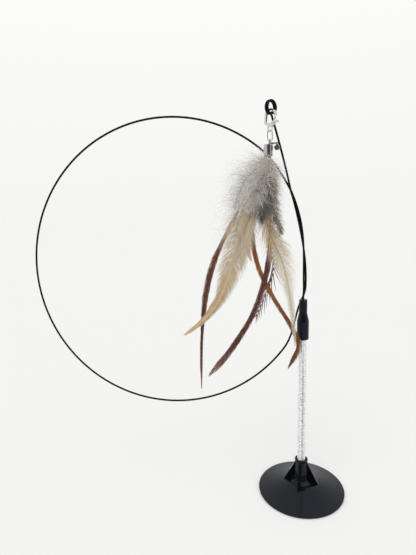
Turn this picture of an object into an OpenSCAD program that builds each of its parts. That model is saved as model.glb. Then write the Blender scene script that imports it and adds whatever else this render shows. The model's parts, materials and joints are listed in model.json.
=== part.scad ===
// Cat teaser wand that stands by itself. A suction cup carries a spring stem,
// and a boot on the stem holds one long black wire. The wire is bent into a
// large loop, twists once round itself and ends in an eye. A claw clasp, a
// link and a crimped cap hang a feather tassel and a small bell from the eye.
// The origin is the centre of the cup's flat ring, and the loop faces -Y.

/* [Suction cup] */
// Outer diameter of the cup
cup_d = 75; // [65:1:85]
// Thickness of the cup at its edge
rim_t = 1.4; // [1:0.1:2.4]
// Width of the flat ring that rests on the surface
rim_w = 3; // [2:0.5:5]
// Depth of the suction hollow at its centre
hollow_h = 4.5; // [3.5:0.5:5.5]
// Height of the crown where the fins end
crown_h = 8; // [7:0.5:11]
// Diameter of the crown where the fins end
crown_d = 28; // [24:1:36]
// Height of the neck above the surface
neck_h = 31; // [26:1:40]
// Wall of the neck round the socket
neck_wall = 1.3; // [1:0.1:3]
// How much wider the neck is at its foot than under the bead
neck_flare = 3; // [1:0.5:6]
// How far the bead stands out from the neck
bead_out = 0.85; // [0.4:0.05:1.5]
// Height of the bead round the mouth
bead_h = 3.2; // [2:0.2:5]
// Depth of the socket that takes the spring
socket_h = 11.5; // [8:0.5:15]
// Thickness of a fin
fin_t = 2.2; // [1.4:0.2:4]
// Number of fins round the neck
fin_count = 4; // [3:1:6]
// Angle of the first fin from +X
fin_turn = -20; // [-45:5:45]

/* [Spring stem] */
// Outer diameter of the spring
spring_d = 7.1; // [6.4:0.1:8.4]
// Diameter of the spring's wire
spring_wire = 0.98; // [0.8:0.02:1.1]
// Clear space between one curl and the next
spring_gap = 0.44; // [0.42:0.02:0.6]
// Length of spring that shows between the cup and the boot
stem_show = 110.7; // [90:0.1:120]
// Length of spring that the boot covers
boot_grip = 7; // [5:0.5:10]
// Clearance round the spring in the cup and in the boot
spring_fit = 0.12; // [0.06:0.02:0.3]

/* [Boot] */
// Wall of the boot round the spring
boot_wall = 1.25; // [0.8:0.05:2.5]
// Height of the boot's round body
boot_h = 15.8; // [13:0.2:24]
// Height of the boot's taper
boot_taper_h = 6.9; // [4:0.1:12]
// Height of the boot's neck
boot_neck_h = 11.5; // [8:0.5:18]
// Wall of the boot's neck
boot_neck_wall = 1.15; // [0.8:0.05:2]
// Radius of the boot's lower edge
boot_edge_r = 1.1; // [0.5:0.1:1.2]

/* [Crimp plug] */
// Height of the plug's shoulder on the spring
shoulder_h = 2; // [1:0.2:4]
// Length of the plug's spigot inside the spring
spigot_h = 6; // [4:0.5:8]
// Diameter of the sleeve that holds the wire
sleeve_d = 4.2; // [3.6:0.1:5]
// Length of the sleeve that holds the wire
sleeve_h = 15; // [10:0.5:17]

/* [Wand wire] */
// Diameter of the coated wire
wire_d = 1.4; // [1.2:0.05:1.8]
// Clear space where the wire lies beside itself
strand_gap = 0.5; // [0.44:0.01:0.8]
// Width of the loop across its leaning axis
loop_w = 239; // [200:1:260]
// Height of the loop along its leaning axis
loop_h = 246.5; // [210:1:270]
// Lean of the loop's long axis to the right
loop_lean = 14; // [0:1:20]
// How far the loop's long oval would pass the stem on the right
loop_over = 8.9; // [4:0.1:12]
// Height of the loop's centre above the boot
loop_rise = 26.3; // [15:0.1:45]
// Depth by which the loop's left side stands behind its right side
loop_depth = 30; // [0:1:45]
// Height above the boot where the twist starts
twist_rise = 12; // [9:0.5:20]
// Height of the twist
twist_h = 76; // [60:1:100]
// Turn of one strand round the other in the twist
twist_turn = 280; // [180:2:400]
// How far the twist leans to the left over its height
twist_lean = 11.4; // [6:0.1:20]
// Mean diameter of the eye
eye_d = 8.9; // [8.4:0.1:11]
// Angle of wire in the eye
eye_turn = 755; // [740:5:770]
// Radius of the bend that leads into the eye
eye_bend_r = 2.2; // [2:0.1:2.6]
// Distance of the eye to the left of the stem
eye_left = 28.7; // [22:0.1:40]
// Distance of the eye in front of the stem
eye_front = 14.8; // [12:0.1:24]
// Height of the eye's centre above the boot
eye_rise = 148.4; // [135:0.1:170]
// Direction of the eye's ring, from +X
eye_face = 45; // [40:0.5:50]

/* [Clasp] */
// Outer width of the claw
claw_w = 9.2; // [9.2:0.1:10]
// Width of the claw's strip
claw_strip = 1.3; // [1:0.05:1.5]
// Thickness of the claw
claw_t = 2; // [1.6:0.1:2.4]
// Distance from the hook's top to the eyelet's bottom
claw_h = 16.4; // [16:0.1:20]
// Outer diameter of the claw's eyelet
eyelet_d = 4.6; // [4:0.1:5.2]
// Thickness of the claw's eyelet
eyelet_t = 0.9; // [0.7:0.05:1.2]
// Hole in the claw's eyelet
eyelet_hole = 3; // [2.6:0.1:3.2]
// Direction of the claw's width, from +X
claw_face = -38; // [-50:1:-30]
// Lean of the hanging claw to the left
claw_lean = 4.6; // [0:0.2:8]
// Thickness of the gate
gate_t = 0.7; // [0.5:0.05:0.9]
// Width of the gate's arm
gate_w = 1.1; // [0.9:0.1:1.3]
// Diameter of the thumb knob
knob_d = 2; // [1.6:0.1:2.6]
// Diameter of the rivet that the gate turns on
rivet_d = 0.9; // [0.7:0.05:1.1]
// Diameter of the gate spring's wire
gate_spring_wire = 0.3; // [0.2:0.05:0.35]

/* [Link and cap] */
// Diameter of the link's wire
link_wire = 0.8; // [0.7:0.05:1]
// Mean width of the link
link_w = 3.5; // [3.2:0.1:4]
// Mean height of the link
link_h = 7.65; // [6:0.05:10]
// Direction of the link's width, from +X
link_face = 10; // [0:2:20]
// Outer diameter of the cap
cap_d = 7; // [6.8:0.1:9]
// Height of the cap
cap_h = 8.4; // [7:0.1:12]
// Wall of the cap
cap_wall = 0.5; // [0.4:0.05:0.7]
// How far the bail stands to the right of the cap's centre
cap_off = 1.2; // [0:0.1:1.4]
// Width of the cap's seam
seam_w = 0.5; // [0.3:0.05:0.8]
// Diameter of the wire of the cap's bail
bail_wire = 1; // [0.8:0.05:1.1]
// Mean width of the cap's bail
bail_w = 3.4; // [3.2:0.1:4]
// Height of the glue that fills the cap
glue_h = 3; // [2:0.2:4]

/* [Bell] */
// Outer diameter of the bell
bell_d = 4.2; // [3.6:0.1:4.8]
// Wall of the bell
bell_wall = 0.35; // [0.25:0.05:0.5]
// Diameter of the pellet in the bell
pellet_d = 1.3; // [1:0.1:1.6]
// Width of the bell's slot
bell_slot = 0.6; // [0.4:0.05:0.9]
// Mean diameter of the ring that carries the bell
ring_d = 6; // [5.8:0.1:7.4]
// Diameter of the bell ring's wire
ring_wire = 0.6; // [0.4:0.05:0.7]
// Direction in which the ring lies on the cap, from +X
ring_face = -50; // [-60:1:-25]

/* [Feathers] */
// Length that the feathers' paths are shares of
tassel_l = 180; // [140:1:200]
// Diameter of a quill
quill_d = 0.5; // [0.3:0.05:0.6]
// Distance between feathers that hang one behind another
layer_gap = 1.25; // [1:0.05:1.5]
// Drop over which the feathers spread out from the cap
spread_h = 25; // [15:1:40]
// Thickness of a feather as a share of the space between layers
vane_t_share = 0.62; // [0.3:0.02:0.66]

/* [Hidden] */
$fn = 48;
wire_sides = 24;

// Overrun of a cut past the face that it opens
cut = 0.5;
// Gap between a piece and the seat that it rests on
seat = 0.1;
// Clearance between metal pieces that hook into each other
hook_fit = 0.06;

// Stem heights, from the surface up
socket_d = spring_d + 2 * spring_fit;
socket_z = neck_h - socket_h;
boot_z = neck_h + stem_show;
spring_z = socket_z + seat;
spring_top = boot_z + boot_grip;
shoulder_z = spring_top + seat;
sleeve_z = shoulder_z + shoulder_h;
sleeve_top = sleeve_z + sleeve_h;
boot_top = boot_z + boot_h + boot_taper_h + boot_neck_h;
boot_d = socket_d + 2 * boot_wall;
boot_neck_d = sleeve_d + 2 * (seat + boot_neck_wall);
boot_rim_r = 0.3;

// Spring coil
curl_rings = 8;
spring_r = (spring_d - spring_wire) / 2;
spring_bend = spring_wire;
coil_h = spring_top - spring_z - 2 * (spring_wire + spring_bend);
curls = round(coil_h / (spring_wire + spring_gap));
curl_pitch = coil_h / curls;
spigot_d = 2 * (spring_r * cos(180 / curl_rings) - spring_wire / 2 - 2 * spring_fit);

// Wire
tube_sides = 8;
strand_r = (wire_d + strand_gap) / 2;
wire_z = sleeve_z + seat;
loop_x = loop_over - loop_w / 2;
loop_z = boot_top + loop_rise;
loop_near_y = strand_r;
loop_from = 52;
loop_to = 324;
pass_y = boot_neck_d / 2 + wire_d / 2 + 2 * seat;
body_pass_y = boot_d / 2 + wire_d / 2 + wire_d;
twist_z = boot_top + twist_rise;
twist_x_share = 0.9;
twist_x = wire_d * twist_x_share;
twist_from = 80;
twist_open = 0.1;
eye_x = -eye_left;
eye_y = -eye_front;
eye_z = boot_top + eye_rise;
eye_r = eye_d / 2;
eye_start = 283;
eye_bend_turn = 75;
eye_pitch = wire_d + strand_gap;
eye_low_z = eye_z - eye_r;

// Places in the claw's own plane, from the centre of its hook: X across, Y up
claw_in_r = claw_w / 2 - claw_strip;
hook_z = eye_low_z - sqrt((claw_in_r - wire_d / 2 - 3 * seat) ^ 2 - eye_pitch ^ 2);
eyelet_y = (claw_w + eyelet_d) / 2 - claw_h;
hook_end_share = 0.4;
hook_end_y = -claw_strip * hook_end_share;
rivet_x_share = 0.7;
rivet_x = claw_in_r * rivet_x_share;
rivet_rise_share = 1.2;
rivet_y = eyelet_y + eyelet_d / 2 + claw_strip * rivet_rise_share;
rivet_head_share = 1.7;
gate_tip_x = (claw_w - claw_strip) / 2;
gate_tip_y = hook_end_y - 4 * seat;
knob_x = claw_w / 2 + knob_d / 2;
knob_y = rivet_y + claw_strip;
knob_t_share = 0.8;
hub_wall_share = 0.8;
hub_d = rivet_d + 2 * gate_w * hub_wall_share;
boss_d = hub_d + claw_strip / 3;
boss_flank_share = 0.35;
eyelet_flank_share = 0.3;
gate_slot = gate_t + gate_spring_wire + 3 * hook_fit;

// Chain below the eye: the claw's lean carries the eyelet to the left
chain_x = eye_x + eyelet_y * sin(claw_lean) * cos(claw_face);
chain_y = eye_y + eyelet_y * sin(claw_lean) * sin(claw_face);
bar_z = hook_z + eyelet_y * cos(claw_lean) - eyelet_hole / 2 + link_wire / 2 + 4 * seat;
link_low_z = bar_z - link_h;
bail_z = link_low_z + (link_wire + bail_wire) / 2 + hook_fit;
bail_rise_share = 1.6;
cap_top = bail_z - bail_w / 2 - bail_wire * bail_rise_share;
cap_z = cap_top - cap_h;
glue_z = cap_top - cap_wall - glue_h;
quill_top = glue_z - seat;
ring_z = cap_top + ring_wire / 2 + 2 * seat;
ring_dip = asin((ring_z - ring_wire / 2 - seat - cap_top) / (cap_d / 2));
bell_x = ring_d / 2 * (1 + cos(ring_face));
bell_y = ring_d / 2 * sin(ring_face);
ring_end_z = ring_z - ring_d / 2 * (1 + cos(ring_face)) * sin(ring_dip);
bell_eye_share = 0.8;
bell_eye_wire = ring_wire * bell_eye_share;
bell_eye_r = (ring_wire + bell_eye_wire) / 2 + hook_fit * 3;
bell_eye_z = ring_end_z + ring_wire / 2 + hook_fit - (bell_eye_r - bell_eye_wire / 2);
bell_z = bell_eye_z - bell_eye_r - bell_d / 2;
slot_l_share = 0.7;
slot_h_share = 0.5;

// Feathers: their layers are counted from the back to the front
feather_count = 14;
middle_layer = (feather_count - 1) / 2;
quill_spread = cap_d / 2 - cap_wall - quill_d;
quill_gap = quill_spread / middle_layer;
quill_ring_share = 0.8;
quill_rank_share = 0.9;
vane_sides_shares = [[-0.5, 0], [-0.25, 0.5], [0.25, 0.5], [0.5, 0], [0.25, -0.5], [-0.25, -0.5]];
down_steps = 12;
hackle_steps = 16;

function unit(v) = v / norm(v);
function last(list) = list[len(list) - 1];
function tangent(path, i) =
    unit(path[min(i + 1, len(path) - 1)] - path[max(i - 1, 0)]);

// Smooth stretch from p to q that leaves along u and arrives along v
function stretch(p, u, q, v, steps) = [
    for (i = [1 : steps - 1])
        let (t = i / steps, reach = norm(q - p))
        (2 * t ^ 3 - 3 * t ^ 2 + 1) * p + (t ^ 3 - 2 * t ^ 2 + t) * reach * unit(u)
        + (3 * t ^ 2 - 2 * t ^ 3) * q + (t ^ 3 - t ^ 2) * reach * unit(v)
];

// Curve through points, by the rule that a point's slope follows its neighbours
function through(points, steps) = [
    for (i = [0 : len(points) - 2], k = [0 : steps - 1])
        let (
            a = points[max(i - 1, 0)], b = points[i], c = points[i + 1],
            d = points[min(i + 2, len(points) - 1)], t = k / steps
        )
        0.5 * (2 * b + (c - a) * t + (2 * a - 5 * b + 4 * c - d) * t ^ 2
        + (3 * b - a - 3 * c + d) * t ^ 3),
    last(points)
];

// Least distance between points that lie at least apart steps from each other
function least_gap(path, apart, d) = min([
    for (i = [0 : len(path) - 1 - apart], k = [i + apart : len(path) - 1])
        norm(path[i] - path[k])
]) - d;

// Closed skin over rings of points that all have the same count
module skin(rings) {
    n = len(rings[0]);
    last_ring = (len(rings) - 1) * n;
    polyhedron(
        points = [for (ring = rings) each ring],
        faces = [
            for (i = [0 : len(rings) - 2], k = [0 : n - 1])
                let (a = i * n + k, b = i * n + (k + 1) % n)
                each [[a, b, b + n], [a, b + n, a + n]],
            for (k = [1 : n - 2])
                each [[0, k + 1, k], [last_ring, last_ring + k, last_ring + k + 1]]
        ]
    );
}

// Round tube along a path; refs are directions that the tube never follows
module tube(path, refs, d, sides) {
    skin([
        for (i = [0 : len(path) - 1])
            let (
                along = tangent(path, i),
                side = unit(cross(along, refs[i])),
                up = cross(along, side)
            )
            [
                for (k = [0 : sides - 1])
                    path[i] + d / 2 * (cos(360 * k / sides) * side + sin(360 * k / sides) * up)
            ]
    ]);
}

// Stem spring: straight ends stand square on the socket and under the plug
function coil_point(angle, z) = [spring_r * cos(angle), spring_r * sin(angle), z];
function coil_ref(angle) = [cos(angle), sin(angle), 0];
bend_angles = [0, 30, 60];
bend_sweep = spring_bend / spring_r * 180 / PI;
spring_start = [for (b = bend_angles) [
    -bend_sweep * cos(b),
    spring_z + spring_wire + spring_bend * sin(b)
]];
spring_turns = concat(
    [[-bend_sweep, spring_z]],
    spring_start,
    [for (k = [0 : curls * curl_rings]) [
        360 * k / curl_rings,
        spring_z + spring_wire + spring_bend + curl_pitch * k / curl_rings
    ]],
    [for (k = [len(bend_angles) - 1 : -1 : 0]) [
        360 * curls - spring_start[k][0],
        spring_top + spring_z - spring_start[k][1]
    ]],
    [[360 * curls + bend_sweep, spring_top]]
);
spring_path = [for (p = spring_turns) coil_point(p[0], p[1])];
spring_refs = [for (p = spring_turns) coil_ref(p[0])];
one_curl_apart = [
    for (i = [len(bend_angles) + 1 : len(spring_path) - 2 * curl_rings], k = [-1 : 1])
        norm(spring_path[i] - spring_path[i + curl_rings + k]) - spring_wire
];
echo(spring_curls = curls, spring_least_gap = min(one_curl_apart));

// Loop: a leaning oval whose left side stands back
function loop_point(a) =
    let (
        across = loop_w / 2 * cos(a + loop_lean),
        along = loop_h / 2 * sin(a + loop_lean)
    )
    [
        loop_x + across * cos(loop_lean) + along * sin(loop_lean),
        loop_near_y + (body_pass_y - loop_near_y) * a / 360 + loop_depth * (1 - cos(a)) / 2,
        loop_z - across * sin(loop_lean) + along * cos(loop_lean)
    ];
function loop_along(a) = loop_point(a + 1) - loop_point(a - 1);

// Twist: two strands wind round a line that leans to the left
function twist_point(u, side) =
    let (a = twist_from + twist_turn * u)
    [
        twist_x - twist_lean * max(u, 0) ^ 2.5 + side * strand_r * sin(a),
        strand_r + wire_d * u + side * strand_r * cos(a),
        twist_z + twist_h * u
    ];
function twist_along(u, side) = twist_point(u + 0.01, side) - twist_point(u - 0.01, side);
function twist_leave(side) = unit(twist_along(1, side)) + [side * twist_open, 0, 0];
twist_steps = 26;

// Eye: a close coil seen nearly edge on; n is the place along its axis
eye_out = [cos(eye_face), sin(eye_face), 0];
eye_axis = [sin(eye_face), -cos(eye_face), 0];
function eye_way(a) = cos(a) * eye_out + [0, 0, sin(a)];
function eye_point(a, n) = [eye_x, eye_y, eye_z] + eye_r * eye_way(a) + n * eye_axis;
function eye_layer(sweep) = eye_pitch * (sweep / 360 - 1);
eye_step = 18;
eye_steps = round(eye_turn / eye_step);
eye_coil = [
    for (k = [0 : eye_steps])
        let (sweep = eye_turn * k / eye_steps)
        eye_point(eye_start - sweep, eye_layer(sweep))
];
function eye_bend(a) =
    eye_coil[0] + eye_bend_r * (eye_way(eye_start) - eye_way(eye_start - a));
eye_bend_steps = 6;
eye_entry_along = eye_way(eye_start - eye_bend_turn - 90);

boot_exit = [0, 0, boot_top + seat];
low_pass = [0, pass_y, boot_top];
pass_right_share = 0.4;
pass_front_share = 0.22;
low_pass_along = [pass_right_share, -pass_front_share, 1];
wire_path = concat(
    [[0, 0, wire_z], [0, 0, sleeve_top], boot_exit],
    stretch(boot_exit, [0, 0, 1], twist_point(0, -1), twist_along(0, -1), 4),
    [for (i = [0 : twist_steps]) twist_point(i / twist_steps, -1)],
    stretch(twist_point(1, -1), twist_leave(-1), loop_point(loop_from), loop_along(loop_from), 9),
    [for (a = [loop_from : 5 : loop_to]) loop_point(a)],
    stretch(loop_point(loop_to), loop_along(loop_to), low_pass, low_pass_along, 10),
    [low_pass],
    stretch(low_pass, low_pass_along, twist_point(0, 1), twist_along(0, 1), 5),
    [for (i = [0 : twist_steps]) twist_point(i / twist_steps, 1)],
    stretch(twist_point(1, 1), twist_leave(1), eye_bend(eye_bend_turn), eye_entry_along, 14),
    [for (k = [eye_bend_steps : -1 : 1]) eye_bend(eye_bend_turn * k / eye_bend_steps)],
    eye_coil
);
echo(wire_least_gap = least_gap(wire_path, 10, wire_d), wire_rings = len(wire_path));
ones = [for (p = wire_path) 1];
wire_steps = [
    for (i = [0 : len(wire_path) - 1]) norm(wire_path[i] - wire_path[max(i - 1, 0)])
];
echo(wire_length = wire_steps * ones);

// Puts a shape in the claw's own plane, with the centre of the hook at zero
module at_hook() {
    translate([eye_x, eye_y, hook_z])
        rotate([0, 0, claw_face]) rotate([90, claw_lean, 0]) children();
}

// Flat sheet of that thickness, half on each side of its outline
module plate(t) {
    linear_extrude(t, center = true) children();
}

// Outline of a bar with round ends
module bar(from, to, w) {
    span = to - from;
    translate(from) rotate([0, 0, atan2(span[1], span[0])]) {
        translate([0, -w / 2]) square([norm(span), w]);
        circle(d = w);
        translate([norm(span), 0]) circle(d = w);
    }
}

// Ring of round wire
module torus(mean_d, wire) {
    rotate_extrude() translate([mean_d / 2, 0]) circle(d = wire, $fn = wire_sides);
}

module suction_cup() {
    under_r = cup_d / 2 - rim_w;
    neck_r = socket_d / 2 + neck_wall;
    foot_r = neck_r + neck_flare / 2;
    crown_top = crown_h + neck_flare;
    fin_top = neck_h - bead_h - bead_out;
    shares = [0, 0.2, 0.4, 0.6, 0.8, 1];
    cone_share = 0.8;
    color("#2d3036") difference() {
        union() {
            rotate_extrude($fn = 96) polygon(concat(
                [[0, hollow_h]],
                [for (s = shares) [under_r * s, hollow_h * (1 - s ^ 2)]],
                [[cup_d / 2 - rim_t / 2, 0], [cup_d / 2, rim_t / 3], [cup_d / 2, rim_t * 2 / 3]],
                [for (s = shares) [
                    cup_d / 2 + (crown_d / 2 - cup_d / 2) * s,
                    rim_t + (crown_h - rim_t) * (cone_share * s + (1 - cone_share) * s ^ 2)
                ]],
                [
                    [foot_r + neck_flare, crown_h + neck_flare / 3],
                    [foot_r, crown_top], [neck_r, fin_top], [neck_r, neck_h - bead_h / 2],
                    [0, neck_h - bead_h / 2]
                ]
            ));
            translate([0, 0, neck_h - bead_h / 2]) rotate_extrude() intersection() {
                translate([neck_r - bead_out, 0]) circle(d = bead_h);
                translate([0, -bead_h / 2]) square([neck_r + bead_out, bead_h]);
            }
            for (k = [0 : fin_count - 1]) rotate([0, 0, fin_turn + 360 * k / fin_count])
                rotate([90, 0, 0]) plate(fin_t) polygon([
                    [neck_r - neck_wall / 2, crown_h - rim_t], [crown_d / 2, crown_h - rim_t],
                    [crown_d / 2 + rim_t, crown_h - rim_t / 2],
                    [neck_r + bead_out / 2, fin_top], [neck_r - neck_wall / 2, fin_top]
                ]);
        }
        translate([0, 0, socket_z]) cylinder(d = socket_d, h = socket_h + cut);
        translate([0, 0, neck_h - neck_wall]) cylinder(
            d1 = socket_d, d2 = socket_d + 2 * (neck_wall + cut), h = neck_wall + cut);
    }
}

module stem_spring() {
    color("#d4d6da") tube(spring_path, spring_refs, spring_wire, 6);
}

module crimp_plug() {
    color("#b9bbc0") difference() {
        union() {
            translate([0, 0, shoulder_z - spigot_h]) cylinder(d = spigot_d, h = spigot_h);
            translate([0, 0, shoulder_z]) cylinder(d = spring_d, h = shoulder_h);
            translate([0, 0, sleeve_z]) cylinder(d = sleeve_d, h = sleeve_h);
        }
        translate([0, 0, sleeve_z]) cylinder(d = wire_d + 2 * hook_fit, h = sleeve_h + cut);
    }
}

module ferrule() {
    body_top = boot_z + boot_h;
    neck_z = body_top + boot_taper_h;
    color("#24272c") difference() {
        rotate_extrude() union() {
            translate([0, boot_z + boot_edge_r]) square([boot_d / 2, boot_h - boot_edge_r]);
            translate([0, boot_z]) square([boot_d / 2 - boot_edge_r, boot_h]);
            translate([boot_d / 2 - boot_edge_r, boot_z + boot_edge_r]) circle(r = boot_edge_r);
            polygon([
                [0, body_top], [boot_d / 2, body_top], [boot_neck_d / 2, neck_z],
                [boot_neck_d / 2, boot_top - boot_rim_r],
                [boot_neck_d / 2 - boot_rim_r, boot_top], [0, boot_top]
            ]);
        }
        translate([0, 0, boot_z - cut])
            cylinder(d = socket_d, h = boot_grip + cut + shoulder_h + 2 * seat);
        translate([0, 0, boot_z]) cylinder(d = sleeve_d + 2 * seat, h = sleeve_top + seat - boot_z);
        translate([0, 0, boot_z]) cylinder(d = wire_d + 2 * seat, h = boot_top - boot_z + cut);
    }
}

module wand_wire() {
    color("#1b1c1f") tube(wire_path, [for (p = wire_path) [0, 1, 0]], wire_d, tube_sides);
}

// Claw: a hook over the eye, a spine on the left, a boss for the rivet and an eyelet
module clasp_body() {
    eyelet_flank = eyelet_d * eyelet_flank_share;
    boss_flank = boss_d * boss_flank_share;
    color("#c9ccd1") at_hook() difference() {
        union() {
            plate(claw_t) {
                difference() {
                    circle(d = claw_w);
                    circle(r = claw_in_r);
                    translate([-claw_w / 2 - cut, hook_end_y - claw_w])
                        square([claw_w + 2 * cut, claw_w]);
                }
                polygon([
                    [-claw_w / 2, 0], [-claw_w / 2, rivet_y],
                    [-eyelet_flank, eyelet_y + eyelet_flank], [eyelet_flank, eyelet_y + eyelet_flank],
                    [rivet_x + boss_flank, rivet_y - boss_flank], [rivet_x, rivet_y],
                    [-claw_in_r, rivet_y + claw_strip / 2], [-claw_in_r, 0]
                ]);
                translate([rivet_x, rivet_y]) circle(d = boss_d);
            }
            plate(eyelet_t) translate([0, eyelet_y]) circle(d = eyelet_d);
        }
        plate(claw_t + cut) {
            translate([0, eyelet_y]) circle(d = eyelet_hole);
            translate([rivet_x, rivet_y]) circle(d = rivet_d + 2 * hook_fit);
        }
        plate(gate_slot) translate([rivet_x, rivet_y]) circle(d = boss_d + claw_strip / 2);
    }
}

// Gate: an arm from the rivet to the hook's tip, with a thumb knob outside
module clasp_gate() {
    rivet = [rivet_x, rivet_y];
    shift = (gate_slot - gate_t) / 2 - hook_fit;
    color("#d0d3d8") at_hook() translate([0, 0, shift]) difference() {
        union() {
            plate(gate_t) {
                bar(rivet, [gate_tip_x, gate_tip_y - gate_w / 2], gate_w);
                bar(rivet, [knob_x, knob_y], gate_w);
                translate(rivet) circle(d = hub_d);
            }
            translate([knob_x, knob_y, 0]) cylinder(d = knob_d, h = claw_t * knob_t_share, center = true);
        }
        translate([rivet_x, rivet_y, 0]) cylinder(d = rivet_d + 2 * hook_fit, h = claw_t, center = true);
    }
}

module clasp_rivet() {
    head_h = rivet_d / 4;
    color("#a9acb2") at_hook() translate([rivet_x, rivet_y, 0]) {
        cylinder(d = rivet_d, h = claw_t + 2 * seat, center = true);
        for (side = [-1, 1]) translate([0, 0, side * (claw_t / 2 + seat / 2 + head_h / 2)])
            cylinder(d = rivet_d * rivet_head_share, h = head_h, center = true);
    }
}

module clasp_spring() {
    lift = -(gate_slot - gate_spring_wire) / 2 + hook_fit;
    color("#8f9298") at_hook() translate([rivet_x, rivet_y, lift])
        torus(rivet_d + gate_spring_wire + 4 * hook_fit, gate_spring_wire);
}

module link_ring() {
    straight = link_h - link_w;
    color("#cfd2d6") translate([chain_x, chain_y, bar_z]) rotate([0, 0, link_face]) rotate([90, 0, 0]) {
        for (end = [0, 1]) translate([0, -link_w / 2 - end * straight, 0])
            rotate([0, 0, 180 * end]) rotate_extrude(angle = 180)
                translate([link_w / 2, 0]) circle(d = link_wire, $fn = wire_sides);
        for (side = [-1, 1]) translate([side * link_w / 2, -link_w / 2 - straight, 0])
            rotate([-90, 0, 0]) cylinder(d = link_wire, h = straight, $fn = wire_sides);
    }
}

// Height z on the line that the link hangs on
module at_link(z) {
    translate([chain_x, chain_y, z]) children();
}

// Height z on the cap's own line
module at_cap(z) {
    translate([chain_x - cap_off, chain_y, z]) children();
}

// Cap: a crimped tube with a closed top, a seam and a bail
module crimp_cap() {
    edge = cap_wall;
    leg_z = cap_top - cap_wall / 2;
    color("#b4b7ba") union() {
        difference() {
            at_cap(0) rotate_extrude() polygon([
                [0, cap_top], [cap_d / 2 - edge, cap_top], [cap_d / 2, cap_top - edge],
                [cap_d / 2, cap_z + edge], [cap_d / 2 - edge / 2, cap_z],
                [cap_d / 2 - cap_wall, cap_z], [cap_d / 2 - cap_wall, cap_top - cap_wall],
                [0, cap_top - cap_wall]
            ]);
            at_cap(cap_z - cut) rotate([0, 0, -60]) translate([cap_d / 2 - 2 * cap_wall, -seam_w / 2, 0])
                cube([3 * cap_wall, seam_w, cap_h - cap_wall]);
        }
        at_link(bail_z - bail_w / 2) rotate([0, 0, link_face + 90]) rotate([90, 0, 0]) {
            rotate_extrude(angle = 180) translate([bail_w / 2, 0]) circle(d = bail_wire, $fn = wire_sides);
            for (side = [-1, 1]) translate([side * bail_w / 2, leg_z - bail_z + bail_w / 2, 0])
                rotate([-90, 0, 0])
                    cylinder(d = bail_wire, h = bail_z - bail_w / 2 - leg_z, $fn = wire_sides);
        }
    }
}

module glue_plug() {
    color("#d9d2bd") at_cap(glue_z)
        cylinder(d = cap_d - 2 * cap_wall - 2 * hook_fit, h = glue_h - hook_fit);
}

// The bell's ring lies on the cap, round one leg of its bail
module bell_ring() {
    color("#9da0a4") at_link(ring_z) rotate([0, 0, ring_face]) rotate([0, ring_dip, 0])
        translate([ring_d / 2, 0, 0]) torus(ring_d, ring_wire);
}

module bell_shell() {
    color("#7d8084") at_link(bell_eye_z) translate([bell_x, bell_y, 0]) union() {
        rotate([90, 0, 0]) torus(2 * bell_eye_r, bell_eye_wire);
        translate([0, 0, bell_z - bell_eye_z]) difference() {
            union() {
                sphere(d = bell_d);
                cylinder(d = bell_d + bell_wall, h = bell_wall, center = true);
            }
            sphere(d = bell_d - 2 * bell_wall);
            for (turn = [0, 90]) rotate([0, 0, turn]) translate([0, 0, -bell_d / 2])
                cube([bell_d * slot_l_share, bell_slot, bell_d * slot_h_share], center = true);
        }
    }
}

module bell_pellet() {
    floor_z = bell_z - bell_d / 2 + bell_wall;
    color("#6f7276") at_link(floor_z + pellet_d / 2 + seat)
        translate([bell_x, bell_y, 0]) sphere(d = pellet_d);
}

// Width of a vane along its length, from 0 to 1 and back; the quill is bare up to
// the first share, a lower rise brings the widest place up and a lower round fills the ends
function vane_width(t, bare, rise, round) =
    t < bare ? 0 : sin(180 * ((t - bare) / (1 - bare)) ^ rise) ^ round;
function hackle_width(t) = vane_width(t, bare = 0.06, rise = 0.6, round = 0.8);
function down_width(t) = vane_width(t, bare = 0.08, rise = 0.85, round = 0.6);

// Layers fan out below the cap, so each keeps to its own curved sheet
function fan(drop) = 1 - (1 - min(max(drop / spread_h, 0), 1)) ^ 2;
function sheet_y(rank, drop) =
    rank * (quill_spread + (middle_layer * layer_gap - quill_spread) * fan(drop));
function vane_t(drop) =
    drop < 0 ? quill_d : vane_t_share * (quill_gap + (layer_gap - quill_gap) * fan(drop));

// One feather: a quill in the cap, then a thin vane along points given as shares
// of the tassel's length, to the right of the link's line and down from the cap
module feather(layer, shares, width_share, down = false) {
    steps = down ? down_steps : hackle_steps;
    rank = (middle_layer - layer) / middle_layer;
    side = layer % 2 == 0 ? 1 : -1;
    quill_x = side * quill_ring_share * quill_spread * sqrt(1 - (quill_rank_share * rank) ^ 2) - cap_off;
    curve = through(concat([[quill_x / tassel_l, 0]], shares), ceil(steps / len(shares)));
    path = concat([[quill_x, cap_z - quill_top]], tassel_l * curve);
    ends = len(curve) - 1;
    widths = concat([quill_d], [
        for (i = [0 : ends])
            let (vane = down ? down_width(i / ends) : hackle_width(i / ends))
            max(tassel_l * width_share * vane, i == ends ? 2 * seat : quill_d)
    ]);
    at_link(cap_z) skin([
        for (i = [0 : len(path) - 1])
            let (along = tangent(path, i), across = [along[1], -along[0]])
            [
                for (s = vane_sides_shares)
                    let (
                        p = path[i] + s[0] * widths[i] * across,
                        drop = i == 0 ? path[0][1] : max(p[1], 0)
                    )
                    [p[0], sheet_y(rank, drop) - s[1] * vane_t(drop), i == 0 ? -p[1] : -drop]
            ]
    ]);
}

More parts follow.
